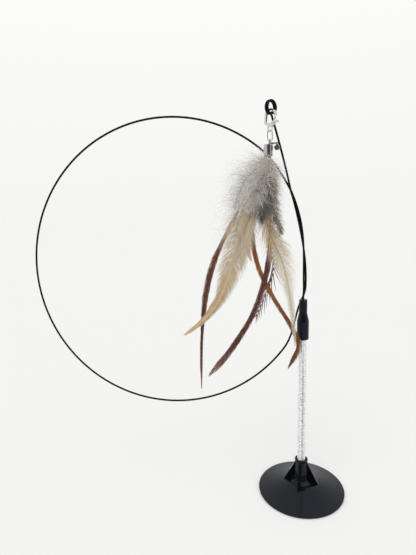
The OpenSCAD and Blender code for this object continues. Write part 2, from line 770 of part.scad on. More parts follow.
module down_feather_back() {
    color("#cfcac2") feather(0, [[-0.03, 0.12], [-0.07, 0.22], [-0.1, 0.33]], 0.15, true);
}
module barred_hackle() {
    color("#8a6a5c") feather(1, [[0, 0.2], [0.012, 0.4], [0.016, 0.51], [-0.055, 0.685]], 0.03);
}
module orange_hackle() {
    color("#8c5528") feather(2, [
        [-0.05, 0.14], [-0.075, 0.286], [-0.053, 0.45], [0.013, 0.6], [0.096, 0.742],
        [0.13, 0.837], [0.089, 0.942]
    ], 0.03);
}
module purple_hackle() {
    color("#65403a") feather(3, [
        [0, 0.2], [0.002, 0.374], [-0.02, 0.52], [-0.078, 0.686], [-0.172, 0.838], [-0.273, 0.961]
    ], 0.03);
}
module down_feather_right() {
    color("#a9a49c") feather(4, [[0.012, 0.1], [0.014, 0.2], [0.02, 0.32]], 0.1, true);
}
module cream_feather() {
    color("#e0d6c4") feather(5, [
        [-0.02, 0.15], [-0.011, 0.287], [0.058, 0.46], [0.095, 0.65], [0.113, 0.828]
    ], 0.075);
}
module dark_red_hackle() {
    color("#5f3830") feather(6, [
        [-0.07, 0.1], [-0.15, 0.25], [-0.237, 0.42], [-0.283, 0.58], [-0.308, 0.79], [-0.316, 1.014]
    ], 0.026);
}
module broad_tan_feather() {
    color("#c4ae90") feather(7, [
        [-0.045, 0.12], [-0.11, 0.271], [-0.158, 0.43], [-0.215, 0.585], [-0.295, 0.69], [-0.379, 0.756]
    ], 0.08);
}
module down_feather_left() {
    color("#d5d0c8") feather(8, [
        [-0.03, 0.06], [-0.1, 0.14], [-0.165, 0.24], [-0.2, 0.34]
    ], 0.14, true);
}
module small_tan_feather() {
    color("#c4ac86") feather(9, [
        [-0.07, 0.12], [-0.12, 0.311], [-0.1, 0.388], [-0.088, 0.44]
    ], 0.025);
}
module slim_tan_feather() {
    color("#bfa67e") feather(10, [[-0.03, 0.14], [-0.06, 0.283], [-0.123, 0.463]], 0.025);
}
module down_feather_middle() {
    color("#8f8a84") feather(11, [[-0.02, 0.1], [-0.05, 0.2], [-0.065, 0.3]], 0.11, true);
}
module tan_streak_feather() {
    color("#a48c6c") feather(12, [[0.012, 0.08], [0.02, 0.2], [0.035, 0.33]], 0.035);
}
module down_feather_front() {
    color("#bdb8b0") feather(13, [[-0.025, 0.08], [-0.07, 0.15], [-0.11, 0.27]], 0.12, true);
}

suction_cup();
stem_spring();
crimp_plug();
ferrule();
wand_wire();
clasp_body();
clasp_gate();
clasp_rivet();
clasp_spring();
link_ring();
crimp_cap();
glue_plug();
bell_ring();
bell_shell();
bell_pellet();
down_feather_back();
barred_hackle();
orange_hackle();
purple_hackle();
down_feather_right();
cream_feather();
dark_red_hackle();
broad_tan_feather();
down_feather_left();
small_tan_feather();
slim_tan_feather();
down_feather_middle();
tan_streak_feather();
down_feather_front();
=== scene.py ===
import json
import math

import bpy
import numpy as np
from mathutils import Matrix

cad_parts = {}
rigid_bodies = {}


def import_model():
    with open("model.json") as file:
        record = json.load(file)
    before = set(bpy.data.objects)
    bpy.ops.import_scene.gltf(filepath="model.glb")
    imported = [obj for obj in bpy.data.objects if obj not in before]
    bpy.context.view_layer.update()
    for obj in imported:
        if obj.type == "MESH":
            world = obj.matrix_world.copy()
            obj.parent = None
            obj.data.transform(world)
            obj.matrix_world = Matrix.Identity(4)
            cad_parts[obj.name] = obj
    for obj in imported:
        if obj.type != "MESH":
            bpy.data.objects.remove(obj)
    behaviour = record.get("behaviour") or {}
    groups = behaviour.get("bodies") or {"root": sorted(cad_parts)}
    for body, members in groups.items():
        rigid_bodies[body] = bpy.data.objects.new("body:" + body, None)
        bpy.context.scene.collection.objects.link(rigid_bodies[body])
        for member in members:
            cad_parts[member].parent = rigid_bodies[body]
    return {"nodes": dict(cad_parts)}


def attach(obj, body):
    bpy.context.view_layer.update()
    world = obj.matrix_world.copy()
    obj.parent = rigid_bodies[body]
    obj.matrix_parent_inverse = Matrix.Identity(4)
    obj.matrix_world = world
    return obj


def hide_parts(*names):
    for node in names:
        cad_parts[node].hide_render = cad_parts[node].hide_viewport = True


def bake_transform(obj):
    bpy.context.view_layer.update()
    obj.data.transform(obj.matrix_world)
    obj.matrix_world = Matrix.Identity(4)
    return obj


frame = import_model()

# A millimetre in the frame's metres
MM = 0.001
scene = bpy.context.scene
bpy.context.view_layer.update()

# Camera, at the photograph's viewpoint
camera_place = np.array([-78.07, -339.96, 262.82]) * MM
camera_tilt = math.radians(10.97174)
camera_roll = math.radians(1.79416)
camera_focus_px = 424.0
photo_h_px = 555.0
sensor_h = 36.0
nearest_seen = 0.01


def placed(place, right, up, back):
    """The matrix of an object at a place, with its own axes along these three."""
    turn = np.eye(4)
    turn[:3, 0] = right
    turn[:3, 1] = up
    turn[:3, 2] = back
    turn[:3, 3] = place
    return Matrix(turn.tolist())


def set_camera():
    forward = np.array([0, math.cos(camera_tilt), -math.sin(camera_tilt)])
    below = np.array([0, -math.sin(camera_tilt), -math.cos(camera_tilt)])
    level = np.array([1.0, 0, 0])
    right = math.cos(camera_roll) * level + math.sin(camera_roll) * below
    down = -math.sin(camera_roll) * level + math.cos(camera_roll) * below
    camera = bpy.data.cameras.new("camera")
    camera.sensor_fit = "VERTICAL"
    camera.sensor_height = sensor_h
    camera.lens = camera_focus_px / photo_h_px * sensor_h
    camera.clip_start = nearest_seen
    holder = bpy.data.objects.new("camera", camera)
    scene.collection.objects.link(holder)
    holder.matrix_world = placed(camera_place, right, -down, -forward)
    scene.camera = holder


set_camera()
scene.view_settings.view_transform = "Standard"

# Sizes of the stem in millimetres, the same as the part's
spring_d = 7.1
spring_low = 19.6
spring_high = 148.7
spring_pitch = 1.42
# Unlike the part's: the stem's wire, as bold as the photograph shows it
spring_wire = 1.15

# Sizes of the wire's route in millimetres, the same as the part's
wire_d = 1.4
wire_low = 150.9
sleeve_top = 165.8
boot_top = 175.9
pass_y = 4.25
body_pass_y = 7.02
loop_w = 239.0
loop_h = 246.5
loop_lean = math.radians(14)
loop_over = 8.9
loop_rise = 26.3
loop_back = 30.0
twist_rise = 12.0
twist_h = 76.0
twist_lean = 11.4
twist_open = 0.1
twist_from = math.radians(80)
twist_turn = math.radians(280)
eye_place = np.array([-28.7, -14.8, 324.3])
eye_r = 4.45
eye_start = math.radians(283)
eye_turn = math.radians(755)
eye_face = math.radians(45)
eye_bend_r = 2.2
eye_bend_turn = math.radians(75)
# Where the loop is a true oval, in degrees round it
loop_from = 52.0
loop_to = 324.0
# Unlike the part's: the coat, as bold as the photograph shows it, and its strands side by side
coat_d = 1.65
strand_r = 0.83
eye_pitch = 1.68

# Sizes of the tassel in millimetres, the same as the part's
chain_x = -29.3004
chain_y = -14.3309
cap_z = 289.994
quill_top = 294.794
cap_off = 1.2
quill_spread = 2.5
tassel_l = 180.0
layer_gap = 1.25
middle_layer = 6.5
spread_h = 25.0


# Colours and finishes
def srgb(red, green, blue):
    """A colour as a screen shows it, from 0 to 255, in the shader's own scale."""
    def linear(level):
        share = level / 255
        return share / 12.92 if share <= 0.04045 else ((share + 0.055) / 1.055) ** 2.4
    return (linear(red), linear(green), linear(blue), 1.0)


def deeper(colour, share):
    """The colour times a share, still opaque."""
    return tuple(level * share for level in colour[:3]) + (1.0,)


# Nearly all values of a noise lie between these
noise_low = 0.25
noise_high = 0.75


class Finish:
    """A material and the few node makers that its surface needs."""

    def __init__(self, name):
        self.material = bpy.data.materials.new(name)
        self.material.use_nodes = True
        self.tree = self.material.node_tree
        self.shader = self.tree.nodes["Principled BSDF"]
        self.place = self.tree.nodes.new("ShaderNodeTexCoord").outputs["Object"]

    def join(self, out, into):
        self.tree.links.new(out, into)

    def set(self, **values):
        """Constants on the shader's own sockets, named with _ for a space."""
        for name, value in values.items():
            self.shader.inputs[name.replace("_", " ")].default_value = value

    def noise(self, scale, detail=4.0, stretch=None):
        node = self.tree.nodes.new("ShaderNodeTexNoise")
        node.inputs["Scale"].default_value = scale
        node.inputs["Detail"].default_value = detail
        source = self.place
        if stretch is not None:
            mapping = self.tree.nodes.new("ShaderNodeMapping")
            mapping.inputs["Scale"].default_value = stretch
            self.join(source, mapping.inputs["Vector"])
            source = mapping.outputs["Vector"]
        self.join(source, node.inputs["Vector"])
        return node.outputs["Fac"]

    def attribute(self, name):
        node = self.tree.nodes.new("ShaderNodeAttribute")
        node.attribute_name = name
        return node.outputs["Fac"]

    def spread(self, source, low, high, into_low=0.0, into_high=1.0):
        """The source from low to high, made to run from into_low to into_high."""
        node = self.tree.nodes.new("ShaderNodeMapRange")
        limits = {"From Min": low, "From Max": high, "To Min": into_low, "To Max": into_high}
        for name, value in limits.items():
            node.inputs[name].default_value = value
        self.join(source, node.inputs["Value"])
        return node.outputs["Result"]

    def opposite(self, source):
        return self.spread(source, 0.0, 1.0, 1.0, 0.0)

    def ramp(self, source, stops):
        """Colour and cover from (place, colour) stops."""
        node = self.tree.nodes.new("ShaderNodeValToRGB")
        band = node.color_ramp
        while len(band.elements) < len(stops):
            band.elements.new(0.5)
        for element, (at, colour) in zip(band.elements, stops):
            element.position = at
            element.color = colour
        self.join(source, node.inputs["Fac"])
        return node.outputs["Color"], node.outputs["Alpha"]

    def mix(self, share, first, second, blend="MIX"):
        node = self.tree.nodes.new("ShaderNodeMix")
        node.data_type = "RGBA"
        node.blend_type = blend
        for value, socket in ((share, node.inputs[0]), (first, node.inputs[6]), (second, node.inputs[7])):
            if isinstance(value, (int, float, tuple)):
                socket.default_value = value
            else:
                self.join(value, socket)
        return node.outputs[2]

    def times(self, first, second):
        node = self.tree.nodes.new("ShaderNodeMath")
        node.operation = "MULTIPLY"
        self.join(first, node.inputs[0])
        self.join(second, node.inputs[1])
        return node.outputs[0]

    def evenly(self, value):
        """A number as a grey, to multiply a colour by."""
        node = self.tree.nodes.new("ShaderNodeCombineColor")
        for socket in node.inputs:
            self.join(value, socket)
        return node.outputs[0]

    def colour(self, source):
        self.join(source, self.shader.inputs["Base Color"])

    def rough(self, source, low, high):
        """Roughness from low to high, by a noise."""
        self.join(self.spread(source, noise_low, noise_high, low, high), self.shader.inputs["Roughness"])

    def bump(self, source, height_mm, strength):
        node = self.tree.nodes.new("ShaderNodeBump")
        node.inputs["Strength"].default_value = strength
        node.inputs["Distance"].default_value = height_mm * MM
        self.join(source, node.inputs["Height"])
        self.join(node.outputs["Normal"], self.shader.inputs["Normal"])


# Tint of the light that black rubber and black coating throw back
cool = (0.8, 0.86, 1.0, 1.0)


def soft_black(name, colour, rough, grain, grain_mm, shine):
    """Moulded rubber or vinyl: cloudy tone, fine grain, worn gloss."""
    f = Finish(name)
    f.colour(f.mix(f.noise(60, detail=3), deeper(colour, 0.8), deeper(colour, 1.25)))
    f.rough(f.noise(180, detail=5), *rough)
    f.bump(f.noise(grain, detail=3), grain_mm, strength=0.5)
    f.set(Specular_IOR_Level=shine, Specular_Tint=cool)
    return f.material


def metal(name, colour, rough, stretch=None, dent_mm=0.01):
    """Plated metal: fine drawn lines, small dull patches and worn spots."""
    f = Finish(name)
    f.set(Metallic=1.0)
    lines = f.noise(900, stretch=stretch)
    dull = f.spread(f.noise(400), 0.5, 0.7)
    f.colour(f.mix(dull, colour, deeper(colour, 0.72)))
    f.rough(lines, *rough)
    f.bump(lines, dent_mm, strength=0.35)
    return f.material


def clear_glue():
    """Set glue: cloudy amber with a thin gloss."""
    f = Finish("clear_glue")
    f.set(Coat_Weight=0.4, IOR=1.48)
    f.colour(f.mix(f.noise(500, detail=3), srgb(196, 186, 160), srgb(214, 206, 184)))
    f.rough(f.noise(300, detail=3), 0.2, 0.4)
    return f.material


finishes = {
    "suction_cup": soft_black("cup_rubber", srgb(7, 9, 15), (0.07, 0.17),
                              grain=900, grain_mm=0.006, shine=0.27),
    "ferrule": soft_black("boot_vinyl", srgb(7, 11, 19), (0.2, 0.36),
                          grain=2200, grain_mm=0.02, shine=0.22),
    "crimp_plug": metal("plug_steel", srgb(160, 162, 165), (0.3, 0.45)),
    "clasp_body": metal("clasp_plate", srgb(206, 206, 203), (0.12, 0.26)),
    "clasp_gate": metal("gate_plate", srgb(200, 200, 197), (0.12, 0.26)),
    "clasp_rivet": metal("rivet_head", srgb(190, 190, 190), (0.2, 0.35)),
    "clasp_spring": metal("gate_spring", srgb(120, 122, 126), (0.25, 0.4)),
    "link_ring": metal("link_wire", srgb(200, 200, 197), (0.1, 0.22)),
    "crimp_cap": metal("cap_plate", srgb(190, 189, 184), (0.12, 0.28), stretch=(1, 1, 0.1), dent_mm=0.02),
    "bell_ring": metal("ring_wire", srgb(104, 104, 103), (0.16, 0.3)),
    "bell_shell": metal("bell_plate", srgb(96, 96, 95), (0.12, 0.26)),
    "bell_pellet": metal("pellet_steel", srgb(110, 112, 116), (0.25, 0.4)),
    "glue_plug": clear_glue(),
}
for node_name, finish in finishes.items():
    solid = frame["nodes"][node_name]
    solid.data.materials.clear()
    solid.data.materials.append(finish)


# Geometry node trees
class Tree:
    """A geometry node tree with named inputs, built in order."""

    def __init__(self, name, inputs):
        self.group = bpy.data.node_groups.new(name, "GeometryNodeTree")
        face = self.group.interface
        face.new_socket("Geometry", in_out="INPUT", socket_type="NodeSocketGeometry")
        self.ids = {}
        for label, kind in inputs.items():
            socket = face.new_socket(label, in_out="INPUT", socket_type="NodeSocket" + kind)
            self.ids[label] = socket.identifier
        face.new_socket("Geometry", in_out="OUTPUT", socket_type="NodeSocketGeometry")
        self.given = self.group.nodes.new("NodeGroupInput").outputs
        self.out = self.group.nodes.new("NodeGroupOutput")

    def fill(self, socket, value):
        """Joins a node's output to the socket, or sets the socket to a plain value."""
        if isinstance(value, bpy.types.NodeSocket):
            self.group.links.new(value, socket)
        else:
            socket.default_value = value

    def node(self, kind, into=None, **settings):
        """A node of that kind; into gives its sockets by name or number."""
        node = self.group.nodes.new(kind)
        for name, value in settings.items():
            setattr(node, name, value)
        for key, value in (into or {}).items():
            self.fill(node.inputs[key], value)
        return node

    def add(self, kind, into=None, pick=0, **settings):
        return self.node(kind, into, **settings).outputs[pick]

    def math(self, operation, *values):
        return self.add("ShaderNodeMath", dict(enumerate(values)), operation=operation)

    def times(self, first, second):
        return self.math("MULTIPLY", first, second)

    def vector(self, x=0.0, y=0.0, z=0.0):
        return self.add("ShaderNodeCombineXYZ", {0: x, 1: y, 2: z})

    def vectors(self, operation, first, second):
        return self.add("ShaderNodeVectorMath", {0: first, 1: second}, operation=operation)

    def scaled(self, vector, by):
        return self.add("ShaderNodeVectorMath", {0: vector, "Scale": by}, operation="SCALE")

    def named(self, name, kind="FLOAT"):
        return self.add("GeometryNodeInputNamedAttribute", {"Name": name}, data_type=kind)

    def store(self, geometry, name, value):
        sockets = {"Geometry": geometry, "Name": name, "Value": value}
        return self.add("GeometryNodeStoreNamedAttribute", sockets, data_type="FLOAT", domain="POINT")

    def random(self, low, high, seed):
        node = self.node("FunctionNodeRandomValue", data_type="FLOAT")
        values = {"Min_001": low, "Max_001": high, "Seed": seed}
        for socket in node.inputs:
            if socket.identifier in values:
                self.fill(socket, values[socket.identifier])
        return node.outputs[1]

    def round_profile(self, sides, radius):
        sockets = {"Resolution": sides, "Radius": radius}
        return self.add("GeometryNodeCurvePrimitiveCircle", sockets, mode="RADIUS")

    def skin(self, line, profile, **more):
        """The closed skin that a profile makes along a line."""
        sockets = {"Curve": line, "Profile Curve": profile, "Fill Caps": True}
        return self.add("GeometryNodeCurveToMesh", {**sockets, **more})

    def end(self, geometry, material):
        real = self.add("GeometryNodeRealizeInstances", {0: geometry})
        done = self.add("GeometryNodeSetMaterial", {"Geometry": real, "Material": material})
        self.group.links.new(done, self.out.inputs[0])
        return self

    def make(self, name, start, values):
        """The plain mesh object that the tree makes from a starting mesh."""
        holder = bpy.data.objects.new(name, start)
        scene.collection.objects.link(holder)
        modifier = holder.modifiers.new("shape", "NODES")
        modifier.node_group = self.group
        for label, value in values.items():
            modifier[self.ids[label]] = value
        graph = bpy.context.evaluated_depsgraph_get()
        made = bpy.data.meshes.new_from_object(holder.evaluated_get(graph))
        holder.modifiers.remove(modifier)
        holder.data = made
        made.name = name
        made.polygons.foreach_set("use_smooth", [True] * len(made.polygons))
        return holder


def line_mesh(name, points):
    mesh = bpy.data.meshes.new(name)
    mesh.from_pydata([tuple(p) for p in points], [(i, i + 1) for i in range(len(points) - 1)], [])
    return mesh


def set_points(mesh, name, values):
    """Stores a number, or a vector, at each point."""
    values = np.asarray(values, np.float32)
    is_vector = values.ndim == 2
    attribute = mesh.attributes.new(name, "FLOAT_VECTOR" if is_vector else "FLOAT", "POINT")
    attribute.data.foreach_set("vector" if is_vector else "value", values.ravel())


# Wire: one strand from the boot, round the loop and back, and into the eye
twist_over = 0.9 * wire_d
twist_lean_power = 2.5
boot_clear = 0.1
# How the strand comes back past the boot
low_along = np.array([0.4, -0.22, 1.0])
# Points that each stretch of the route is drawn with
loop_steps = 340
twist_steps = 120
boot_steps = 24
sweep_steps = 60
rise_steps = 110
eye_bend_steps = 24
eye_steps = 250
wire_sides = 14


def unit(v):
    v = np.asarray(v, float)
    return v / np.linalg.norm(v)


def stretch(p, u, q, v, steps):
    """Smooth stretch from p to q that leaves along u and arrives along v."""
    reach = np.linalg.norm(q - p)
    t = (np.arange(1, steps) / steps)[:, None]
    return ((2 * t**3 - 3 * t**2 + 1) * p + (t**3 - 2 * t**2 + t) * reach * unit(u)
            + (3 * t**2 - 2 * t**3) * q + (t**3 - t**2) * reach * unit(v))


def loop_point(degrees):
    a = math.radians(degrees)
    across = loop_w / 2 * math.cos(a + loop_lean)
    along = loop_h / 2 * math.sin(a + loop_lean)
    return np.array([
        loop_over - loop_w / 2 + across * math.cos(loop_lean) + along * math.sin(loop_lean),
        strand_r + (body_pass_y - strand_r) * degrees / 360 + loop_back * (1 - math.cos(a)) / 2,
        boot_top + loop_rise - across * math.sin(loop_lean) + along * math.cos(loop_lean)])


def loop_along(degrees):
    return loop_point(degrees + 1) - loop_point(degrees - 1)


def twist_point(u, side):
    """A strand's place at the share u of the twist; side is -1 going up and 1 coming back."""
    a = twist_from + twist_turn * u
    return np.array([
        twist_over - twist_lean * max(u, 0) ** twist_lean_power + side * strand_r * math.sin(a),
        strand_r + wire_d * u + side * strand_r * math.cos(a),
        boot_top + twist_rise + twist_h * u])


def twist_along(u, side):
    return twist_point(u + 0.01, side) - twist_point(u - 0.01, side)


def twist_leave(side):
    return unit(twist_along(1, side)) + np.array([side * twist_open, 0, 0])


def twist_line(side):
    return [twist_point(i / twist_steps, side) for i in range(twist_steps + 1)]


def eye_way(a):
    out = np.array([math.cos(eye_face), math.sin(eye_face), 0])
    return math.cos(a) * out + math.sin(a) * np.array([0, 0, 1.0])


def eye_point(sweep):
    axis = np.array([math.sin(eye_face), -math.cos(eye_face), 0])
    return eye_place + eye_r * eye_way(eye_start - sweep) + eye_pitch * (sweep / math.tau - 1) * axis


def eye_bend_point(a):
    return eye_point(0) + eye_bend_r * (eye_way(eye_start) - eye_way(eye_start - a))


def wire_route():
    up = np.array([0, 0, 1.0])
    leave = np.array([0, 0, boot_top + boot_clear])
    low_pass = np.array([0, pass_y, boot_top])
    bend = [eye_bend_point(eye_bend_turn * k / eye_bend_steps) for k in range(eye_bend_steps, 0, -1)]
    bend_along = eye_way(eye_start - eye_bend_turn - math.pi / 2)
    parts = [
        [[0, 0, wire_low], [0, 0, sleeve_top], leave],
        stretch(leave, up, twist_point(0, -1), twist_along(0, -1), boot_steps),
        twist_line(-1),
        stretch(twist_point(1, -1), twist_leave(-1),
                loop_point(loop_from), loop_along(loop_from), sweep_steps),
        [loop_point(a) for a in np.linspace(loop_from, loop_to, loop_steps + 1)],
        stretch(loop_point(loop_to), loop_along(loop_to), low_pass, low_along, sweep_steps),
        [low_pass],
        stretch(low_pass, low_along, twist_point(0, 1), twist_along(0, 1), boot_steps),
        twist_line(1),
        stretch(twist_point(1, 1), twist_leave(1), bend[0], bend_along, rise_steps),
        bend,
        [eye_point(eye_turn * k / eye_steps) for k in range(eye_steps + 1)],
    ]
    return np.array([p for part in parts for p in part])


def wire_tree():
    tree = Tree("coated_wire", {"Diameter": "Float", "Sides": "Int", "Coating": "Material"})
    line = tree.add("GeometryNodeMeshToCurve", {"Mesh": tree.given["Geometry"]})
    line = tree.store(line, "along", tree.add("GeometryNodeSplineParameter", pick="Length"))
    profile = tree.round_profile(tree.given["Sides"], tree.times(tree.given["Diameter"], 0.5))
    return tree.end(tree.skin(line, profile), tree.given["Coating"])


def wire_coat():
    """Thin black coat on steel wire: slightly uneven, with small scuffs."""
    f = Finish("wire_coat")
    scuff = f.spread(f.noise(700, detail=5), 0.62, 0.75)
    f.colour(f.mix(scuff, srgb(7, 8, 9), srgb(20, 21, 23)))
    f.rough(f.noise(320), 0.36, 0.52)
    f.bump(f.noise(500, detail=3), 0.04, strength=0.5)
    f.set(Specular_IOR_Level=0.1, Specular_Tint=cool)
    return f.material


wire = wire_tree().make("coated_wire", line_mesh("wire_line", wire_route() * MM), {
    "Diameter": coat_d * MM, "Sides": wire_sides, "Coating": wire_coat()})
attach(wire, "wand")
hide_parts("wand_wire")

# Spring stem: one close winding of round steel wire
spring_sides = 10
spring_turn_points = 28


def spring_tree():
    tree = Tree("wound_spring", {
        "Height": "Float", "Turns": "Float", "Mean Radius": "Float", "Wire": "Float",
        "Low End": "Float", "Steel": "Material"})
    given = tree.given
    line = tree.add("GeometryNodeCurveSpiral", {
        "Resolution": spring_turn_points, "Rotations": given["Turns"], "Height": given["Height"],
        "Start Radius": given["Mean Radius"], "End Radius": given["Mean Radius"]})
    line = tree.add("GeometryNodeSetPosition", {"Geometry": line, "Offset": tree.vector(z=given["Low End"])})
    profile = tree.round_profile(spring_sides, tree.times(given["Wire"], 0.5))
    return tree.end(tree.skin(line, profile), given["Steel"])


spring_h = spring_high - spring_low - spring_wire
spring = spring_tree().make("wound_spring", bpy.data.meshes.new("spring_start"), {
    "Height": spring_h * MM, "Turns": spring_h / spring_pitch,
    "Mean Radius": (spring_d - spring_wire) / 2 * MM, "Wire": spring_wire * MM,
    "Low End": (spring_low + spring_wire / 2) * MM,
    "Steel": metal("spring_steel", srgb(244, 245, 246), (0.1, 0.2))})
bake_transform(spring)
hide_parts("stem_spring")

# Feathers: a quill with barbs that leave it on both sides
quill_sides = 6
barb_sides = 3
barb_points = 6
# A barb shorter than this, in millimetres, is left out
least_reach = 0.4
# How much of its width a barb loses to its tip, and how late
tip_narrowing = 0.88
narrowing_power = 2.0
# How late along a barb its waves and its droop set in
ruffle_power = 1.5
# How far a barb lifts out of the vane, as a share of how unruly it is
lift_share = 0.5
# Seeds of the random draws, added to the feather's own
strand_seed = 5
lean_seed = 11
roll_seed = 12
lift_seed = 13
length_seed = 14


def draw(tree, low, seed):
    """A random number from low to 1 at each point."""
    return tree.random(low, 1.0, tree.math("ADD", tree.given["Seed"], seed))


def barb_roots(tree, shaft):
    """Points along the quill, twice over: hand is -1 or 1, and strand is a random share."""
    count = tree.given["Barbs"]
    roots = tree.add("GeometryNodeResampleCurve", {"Curve": shaft, "Count": count}, mode="COUNT")
    pairs = tree.node("GeometryNodeDuplicateElements", {"Geometry": roots, "Amount": 2}, domain="SPLINE")
    hand = tree.math("SUBTRACT", tree.times(pairs.outputs[1], 2.0), 1.0)
    roots = tree.store(pairs.outputs[0], "hand", hand)
    return tree.store(roots, "strand", draw(tree, 0.0, strand_seed))


def barb_aim(tree):
    """How each barb is turned: along the quill by its angle, and a little out of its plane."""
    unruly = tree.times(tree.named("loose"), tree.given["Unruly"])
    lean = tree.math("ADD", tree.named("angle"), tree.times(draw(tree, -1.0, lean_seed), unruly))
    roll = tree.times(draw(tree, -1.0, roll_seed), tree.times(tree.named("loose"), tree.given["Spread"]))
    lift = tree.times(draw(tree, -1.0, lift_seed), tree.times(unruly, lift_share))
    aim = tree.add("FunctionNodeAxesToRotation", {
        "Primary Axis": tree.named("face", "FLOAT_VECTOR"),
        "Secondary Axis": tree.add("GeometryNodeInputTangent")}, primary_axis="Z", secondary_axis="X")
    for angles in ({"x": roll}, {"z": tree.times(lean, tree.named("hand"))}, {"y": lift}):
        turn = tree.add("FunctionNodeEulerToRotation", {0: tree.vector(**angles)})
        sockets = {"Rotation": aim, "Rotate By": turn}
        aim = tree.add("FunctionNodeRotateRotation", sockets, rotation_space="LOCAL")
    return aim


def barb_lines(tree, roots):
    """One curved line for each barb, as long as the reach at its root."""
    uneven = tree.times(draw(tree, -1.0, length_seed), tree.given["Uneven"])
    length = tree.times(tree.named("reach"), tree.math("ADD", uneven, 1.0))
    size = tree.vector(x=length, y=tree.times(length, tree.named("hand")), z=length)
    barb = tree.add("GeometryNodeCurveQuadraticBezier", {
        "Resolution": barb_points, "Start": (0.0, 0.0, 0.0),
        "Middle": tree.vector(x=0.5, y=tree.given["Curl"]), "End": (1.0, 0.0, 0.0)})
    barbs = tree.add("GeometryNodeInstanceOnPoints", {
        "Points": roots, "Instance": barb, "Rotation": barb_aim(tree), "Scale": size,
        "Selection": tree.math("GREATER_THAN", tree.named("reach"), least_reach * MM)})
    barbs = tree.add("GeometryNodeRealizeInstances", {0: barbs})
    return tree.store(barbs, "across", tree.add("GeometryNodeSplineParameter", pick="Factor"))


def ruffled(tree, barbs):
    """The barbs waved by a smooth noise and drooping, more so towards their tips."""
    place = tree.vectors("ADD", tree.add("GeometryNodeInputPosition"), tree.vector(x=tree.given["Seed"]))
    wave = tree.add("ShaderNodeTexNoise", {
        "Vector": place, "Scale": tree.given["Ruffle Size"], "Detail": 2.0}, pick="Color")
    wave = tree.vectors("SUBTRACT", wave, (0.5, 0.5, 0.5))
    far = tree.times(tree.math("POWER", tree.named("across"), ruffle_power), tree.named("reach"))
    wave = tree.scaled(wave, tree.times(tree.times(far, tree.given["Ruffle"]), tree.named("loose")))
    fall = tree.times(tree.times(far, tree.given["Droop"]), -1.0)
    barbs = tree.add("GeometryNodeSetPosition", {
        "Geometry": barbs, "Offset": tree.vectors("ADD", wave, tree.vector(z=fall))})
    return tree.add("GeometryNodeSetCurveNormal", {
        "Curve": barbs, "Normal": tree.named("face", "FLOAT_VECTOR")}, mode="FREE")


def feather_tree():
    tree = Tree("feather", {
        "Barbs": "Int", "Barb Width": "Float", "Flatness": "Float", "Curl": "Float", "Unruly": "Float",
        "Uneven": "Float", "Ruffle": "Float", "Ruffle Size": "Float", "Spread": "Float", "Droop": "Float",
        "Seed": "Int", "Finish": "Material"})
    shaft = tree.add("GeometryNodeMeshToCurve", {"Mesh": tree.given["Geometry"]})
    shaft = tree.store(shaft, "along", tree.add("GeometryNodeSplineParameter", pick="Factor"))
    quill = tree.skin(shaft, tree.round_profile(quill_sides, 1.0), Scale=tree.named("quill"))
    barbs = ruffled(tree, barb_lines(tree, barb_roots(tree, shaft)))
    flat = tree.add("GeometryNodeTransform", {
        "Geometry": tree.round_profile(barb_sides, 0.5),
        "Scale": tree.vector(x=tree.given["Flatness"], y=1.0, z=1.0)})
    narrowing = tree.times(tree.math("POWER", tree.named("across"), narrowing_power), tip_narrowing)
    width = tree.times(tree.given["Barb Width"], tree.math("SUBTRACT", 1.0, narrowing))
    both = tree.node("GeometryNodeJoinGeometry")
    for part in (tree.skin(barbs, flat, Scale=width), quill):
        tree.group.links.new(part, both.inputs[0])
    return tree.end(both.outputs[0], tree.given["Finish"])


feather_maker = feather_tree()

# The quill's line, and where the quills stand in the cap
quill_steps = 14
quill_rank_share = 0.9
quill_side_share = 0.8


def through(points, steps):
    """Curve through points, where a point's slope follows its neighbours."""
    points = [np.array(p, float) for p in points]
    last = len(points) - 1
    made = []
    for i in range(last):
        a, b, c, d = points[max(i - 1, 0)], points[i], points[i + 1], points[min(i + 2, last)]
        for k in range(steps):
            t = k / steps
            made.append(0.5 * (2 * b + (c - a) * t + (2 * a - 5 * b + 4 * c - d) * t**2
                               + (3 * b - a - 3 * c + d) * t**3))
    return np.array(made + [points[-1]])


def fan(drop):
    """How far the layers have spread, from 0 at the cap to 1 below it."""
    return 1 - (1 - np.clip(drop / spread_h, 0, 1)) ** 2


def shaft_points(layer, line):
    """The quill's line in millimetres, on the layer's own curved sheet."""
    rank = (middle_layer - layer) / middle_layer
    side = 1 if layer % 2 == 0 else -1
    inwards = math.sqrt(quill_spread**2 - (quill_rank_share * rank * quill_spread) ** 2)
    quill_x = side * inwards * quill_side_share - cap_off
    curve = through([[quill_x / tassel_l, 0]] + line, quill_steps) * tassel_l
    drop = np.maximum(curve[:, 1], 0)
    y = rank * (quill_spread + (middle_layer * layer_gap - quill_spread) * fan(drop))
    hung = np.stack([chain_x + curve[:, 0], chain_y + y, cap_z - drop], 1)
    top = np.array([[chain_x + quill_x, chain_y + rank * quill_spread, quill_top]])
    return np.concatenate([top, hung])


# Shares of a barb's length: where the quill's colour ends, and where the tip's thinning and colour begin
rachis_end = 0.06
thin_from = 0.2
edge_from = 0.35
# How much lighter a barb may be, as a share of how much darker
light_share = 0.3


